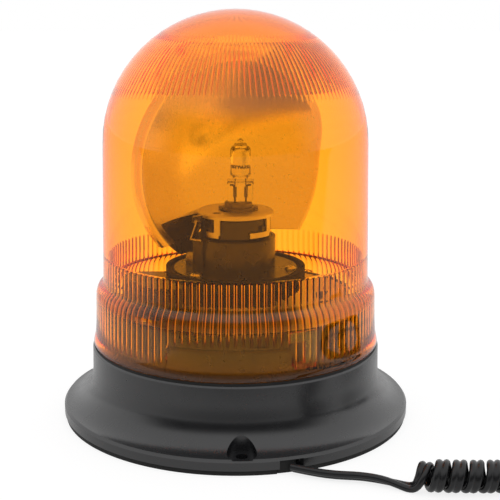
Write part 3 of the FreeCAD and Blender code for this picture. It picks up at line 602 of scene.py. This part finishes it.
def flat_run(route):
    """Control points of a stretch on the floor and the direction of its wide side at each."""
    line = Line([Vector(p) * MM for p in route], 12)
    drop = (CORD_W / 2 - (CORD_W - CORD_T) / 2 * math.sin(TAIL_TILT) - CORD_T / 2) * MM
    out = []
    for place in route:
        spot = Vector(place) * MM
        nearest = min(range(len(line.places)), key=lambda i: (line.places[i] - spot).length)
        ahead = line.heading(line.run[nearest], 0.002)
        side = ahead.cross(UP).normalized()
        lift = min(max(place[2] - CORD_W / 2, 0.0) / 3.0, 1.0)
        wide = side * math.cos(TAIL_TILT) + UP * math.sin(TAIL_TILT)
        out.append((spot - UP * drop * (1 - lift), wide))
    return out


def slack(turns):
    """Share of the easing still to come, this many turns in from an end of the curl."""
    return max(1.0 - turns / EASE_TURNS, 0.0) ** 2


def curl():
    """Control points of the curly part: a helix about its route, easing in and out."""
    axis = Line([Vector(p) * MM for p in COIL_ROUTE], 24)
    swing = (COIL_D - CORD_T) / 2 * MM / math.cos(math.pi / TURN_POINTS)
    pitch = PITCH * MM
    turns = math.floor(axis.length / pitch - 2 * EASE_PITCHES)
    out = []
    count = turns * TURN_POINTS
    for k in range(count + 1):
        t = k / TURN_POINTS
        eased = slack(turns - t) - slack(t)
        along = axis.length * 0.5 + (t - turns / 2) * pitch + eased * EASE_PITCHES * pitch
        ahead = axis.heading(min(max(along, 0.002), axis.length - 0.002), 0.002)
        side = ahead.cross(UP).normalized()
        up = side.cross(ahead)
        a = math.radians(START_TURN) + TURN * t
        near_end = min(t, turns - t)
        grown = 0.1 + 0.9 * rise(near_end, 0.0, EASE_TURNS)
        direction = side * math.cos(a) + up * math.sin(a)
        low = up * (1 - grown) * -swing
        wide = side.lerp(ahead, rise(near_end, 0.0, 0.9)).normalized()
        out.append((axis.at(along) + direction * swing * grown + low, wide))
    return out


def twin_section():
    """Outline of twin lead: two round cores side by side, from its middle, as (wide, thick)."""
    r = CORD_T / 2
    apart = (CORD_W - CORD_T) / 2
    right = [(apart + r * math.cos(a), r * math.sin(a)) for a in
             (math.radians(d) for d in range(-150, 151, 30))]
    return right + [(-x, -y) for x, y in right]


def next_ring(bm, edges, ring):
    """Extrude a loop of edges; returns the new loop and its vertices in the old ones' order."""
    made = bmesh.ops.extrude_edge_only(bm, edges=edges)["geom"]
    new_edges = [e for e in made if isinstance(e, bmesh.types.BMEdge)]
    old = set(ring)
    follow = {}
    for vert in (v for v in made if isinstance(v, bmesh.types.BMVert)):
        for edge in vert.link_edges:
            if edge.other_vert(vert) in old:
                follow[edge.other_vert(vert)] = vert
    return new_edges, [follow[v] for v in ring]


def sweep(bm, line, section, step, wide_at):
    """Draw a section along a line; wide_at gives the direction of the section's wide side."""
    count = round(line.length / step)
    spots = []
    ring = [bm.verts.new((0, 0, 0)) for corner in section]
    edges = [bm.edges.new((a, b)) for a, b in zip(ring, ring[1:] + ring[:1])]
    bmesh.ops.contextual_create(bm, geom=edges)
    for k in range(count + 1):
        distance = line.length * k / count
        middle = line.at(distance)
        ahead = line.heading(distance, step / 2)
        across = wide_at(distance)
        across = (across - ahead * across.dot(ahead)).normalized()
        thick = ahead.cross(across)
        for vert, (x, y) in zip(ring, section):
            vert.co = middle / MM + across * x + thick * y
        spots.append(tuple(middle))
        if k < count:
            edges, ring = next_ring(bm, edges, ring)
    bmesh.ops.contextual_create(bm, geom=edges)
    return spots


def supply_cord():
    control = flat_run(TAIL_ROUTE[:-1]) + curl() + flat_run(PLUG_ROUTE[1:])
    line = Line([place for place, wide in control], 4)
    wides = Line.read([wide for place, wide in control], 4)

    def wide_at(distance):
        i, share = line.spot(distance)
        return wides[i].lerp(wides[i + 1], share)

    bm = bmesh.new()
    spots = sweep(bm, line, twin_section(), CORD_STEP, wide_at)
    cord = piece("curly_lead", bm, "cord_black", "cord_tail", "coiled_cord", "plug_tail", crease=75.0)
    print("lead length", round(line.length, 4))
    return cord


# ---------------------------------------------------------------- lamp
BULB_X = 2.1
ENVELOPE_R = 4.4
FILAMENT_Z = 107.7
COIL_TURNS = 9


def round_wire(bm, route, radius, beside, step=0.00035):
    """Round wire along a smooth line; beside is a direction that the wire never runs in."""
    circle = [(radius * math.cos(TURN * i / 10), radius * math.sin(TURN * i / 10)) for i in range(10)]
    line = Line([Vector(p) * MM for p in route], 6)
    sweep(bm, line, circle, step, lambda distance: line.heading(distance, step / 2).cross(beside))


def slab(bm, size, centre, soft):
    """Box with softened edges."""
    made = bmesh.ops.create_cube(bm, size=1.0)["verts"]
    bmesh.ops.scale(bm, vec=size, verts=made)
    bmesh.ops.translate(bm, vec=centre, verts=made)
    edges = list({e for v in made for e in v.link_edges})
    bmesh.ops.bevel(bm, geom=edges, offset=soft, segments=3, affect="EDGES", profile=0.5,
                    material=-1)


def lamp_envelope():
    """Quartz envelope with its pinched seal and the drawn-off tip."""
    bm = bmesh.new()
    outside = [(0, 119.3), (0.7, 119.1), (1.3, 118.4), (1.6, 117.5), (2.6, 117.0), (2.8, 116.6),
               (2.4, 116.2), (3.3, 116.0), (3.9, 115.4), (ENVELOPE_R, 114.6), (ENVELOPE_R, 104.2),
               (3.9, 103.4), (3.2, 102.7), (2.0, 102.4), (0, 102.3)]
    inside = [(0, 114.7), (2.2, 114.6), (3.0, 114.1), (3.25, 113.2), (3.25, 105.2), (2.9, 104.4),
              (1.8, 103.9), (0, 103.8)]
    lathe(bm, outside, 48)
    lathe(bm, inside, 48)
    bmesh.ops.remove_doubles(bm, verts=bm.verts, dist=0.0004)
    slab(bm, (10.9, 3.4, 8.8), (0, 0, 97.0), 0.5)
    for z in (100.6, 101.8):
        slab(bm, (11.3, 4.2, 0.7), (0, 0, z), 0.3)
    bmesh.ops.translate(bm, vec=(BULB_X, 0, 0), verts=bm.verts)
    return piece("lamp_envelope", bm, "lamp_glass", "bulb_glass")


def lamp_filament():
    """Coiled filament on its two support wires, which run down through the seal."""
    bm = bmesh.new()
    coil = []
    for k in range(COIL_TURNS * 8 + 1):
        a = TURN * k / 8
        x = -2.5 + 5.0 * k / (COIL_TURNS * 8)
        coil.append((x, 0.6 * math.cos(a), FILAMENT_Z + 0.6 * math.sin(a)))
    round_wire(bm, coil, 0.13, Vector((1, 0, 0)), 0.0002)
    for side in (-1, 1):
        round_wire(bm, [(side * 2.5, 0, FILAMENT_Z + 0.3), (side * 2.9, 0, 105.6),
                        (side * 1.9, 0, 103.4), (side * 2.3, 0, 100.8), (side * 2.3, 0, 98.8)],
                   0.2, Vector((0, 1, 0)))
        round_wire(bm, [(side * 4.4, 0, 99.6), (side * 2.9, 0, 99.8), (side * 2.3, 0, 98.0),
                        (side * 2.3, 0, 95.0), (side * 2.3, 0, 92.9)], 0.42, Vector((0, 1, 0)))
        slab(bm, (1.5, 0.12, 4.4), (side * 2.3, 0, 96.6), 0.04)
    bmesh.ops.translate(bm, vec=(BULB_X, 0, 0), verts=bm.verts)
    return piece("lamp_filament", bm, "lamp_metal", "bulb_filament")


# ---------------------------------------------------------------- stage
CAMERA_AT = (0.0, -0.475, 0.18276)
CAMERA_PITCH = 13.24
CAMERA_LENS = 81.54
CAMERA_SHIFT = 0.029
FRONT_DARKNESS = 0.92    # how much darker the studio is on the camera's side
FLOOR_GLOW = 0.82
MIRRORED_FLOOR = 0.65


def studio():
    scene = bpy.context.scene
    camera_data = bpy.data.cameras.new("camera")
    camera_data.lens = CAMERA_LENS
    camera_data.shift_x = CAMERA_SHIFT
    camera_data.clip_start = 0.01
    camera = bpy.data.objects.new("camera", camera_data)
    camera.location = CAMERA_AT
    camera.rotation_euler = (math.radians(90 - CAMERA_PITCH), 0, 0)
    scene.collection.objects.link(camera)
    scene.camera = camera
    scene.view_settings.view_transform = "Standard"

    world = bpy.data.worlds.new("studio")
    scene.world = world
    world.use_nodes = True
    sky = Graph(world.node_tree)
    facing = sky.node("TexCoord", output="Generated")
    ahead = sky.node("SeparateXYZ", {}, {0: facing}, "Y")
    height = Signal(sky, ahead.output.node.outputs["Z"])
    dark = sky.ramp(0.0 - ahead, 0.1, 0.7) * (1.0 - sky.ramp(height, 0.35, 0.7))
    shown = sky.rays("Is Camera Ray", "Is Transmission Ray")
    strength = shown + (1.0 - shown) * (1.0 - dark * FRONT_DARKNESS)
    background = world.node_tree.nodes["Background"]
    background.inputs["Color"].default_value = (1, 1, 1, 1)
    world.node_tree.links.new(strength.output, background.inputs["Strength"])

    floor_look = Look("white_floor", Roughness=0.9, Base_Color=(0.25, 0.25, 0.25, 1),
                      Specular_IOR_Level=0.0, Emission_Color=(1, 1, 1, 1))
    seen = floor_look.rays("Is Camera Ray", "Is Transmission Ray")
    mirrored = floor_look.rays("Is Glossy Ray")
    nearness = floor_look.node("SeparateXYZ", {}, {0: floor_look.place()}, "Y")
    front = floor_look.ramp(0.0 - nearness, 0.11, 0.2)
    floor_look.put("Emission Strength",
                   (seen + mirrored * MIRRORED_FLOOR * (1.0 - front * FRONT_DARKNESS)) * FLOOR_GLOW)
    bm = bmesh.new()
    bmesh.ops.create_grid(bm, x_segments=1, y_segments=1, size=4.0)
    mesh = bpy.data.meshes.new("floor")
    bm.to_mesh(mesh)
    bm.free()
    mesh.materials.append(floor_look.material)
    floor = bpy.data.objects.new("floor", mesh)
    scene.collection.objects.link(floor)

    scene.cycles.max_bounces = 24
    scene.cycles.transmission_bounces = 20
    scene.cycles.glossy_bounces = 8


# ---------------------------------------------------------------- all pieces
REBUILT = {"lens", "reflector", "cord_tail", "coiled_cord", "plug_tail", "bulb_glass",
           "bulb_filament"}
POLISHED = {"base_housing": 0.3, "bulb_socket": 0.15, "bulb_clamp": 0.1, "rotor_hub": 0.2,
            "reflector_carrier": 0.2, "chassis_plate": 0.2, "plug_body": 0.25, "plug_cap": 0.2}

studio()
lens_cover()
reflector_bowl()
supply_cord()
lamp_envelope()
lamp_filament()
for node in sorted(SLOT_OF):
    if node in POLISHED:
        polished(node, POLISHED[node])
    elif node not in REBUILT:
        frame["nodes"][node].data.materials.clear()
        frame["nodes"][node].data.materials.append(LOOKS[SLOT_OF[node]])
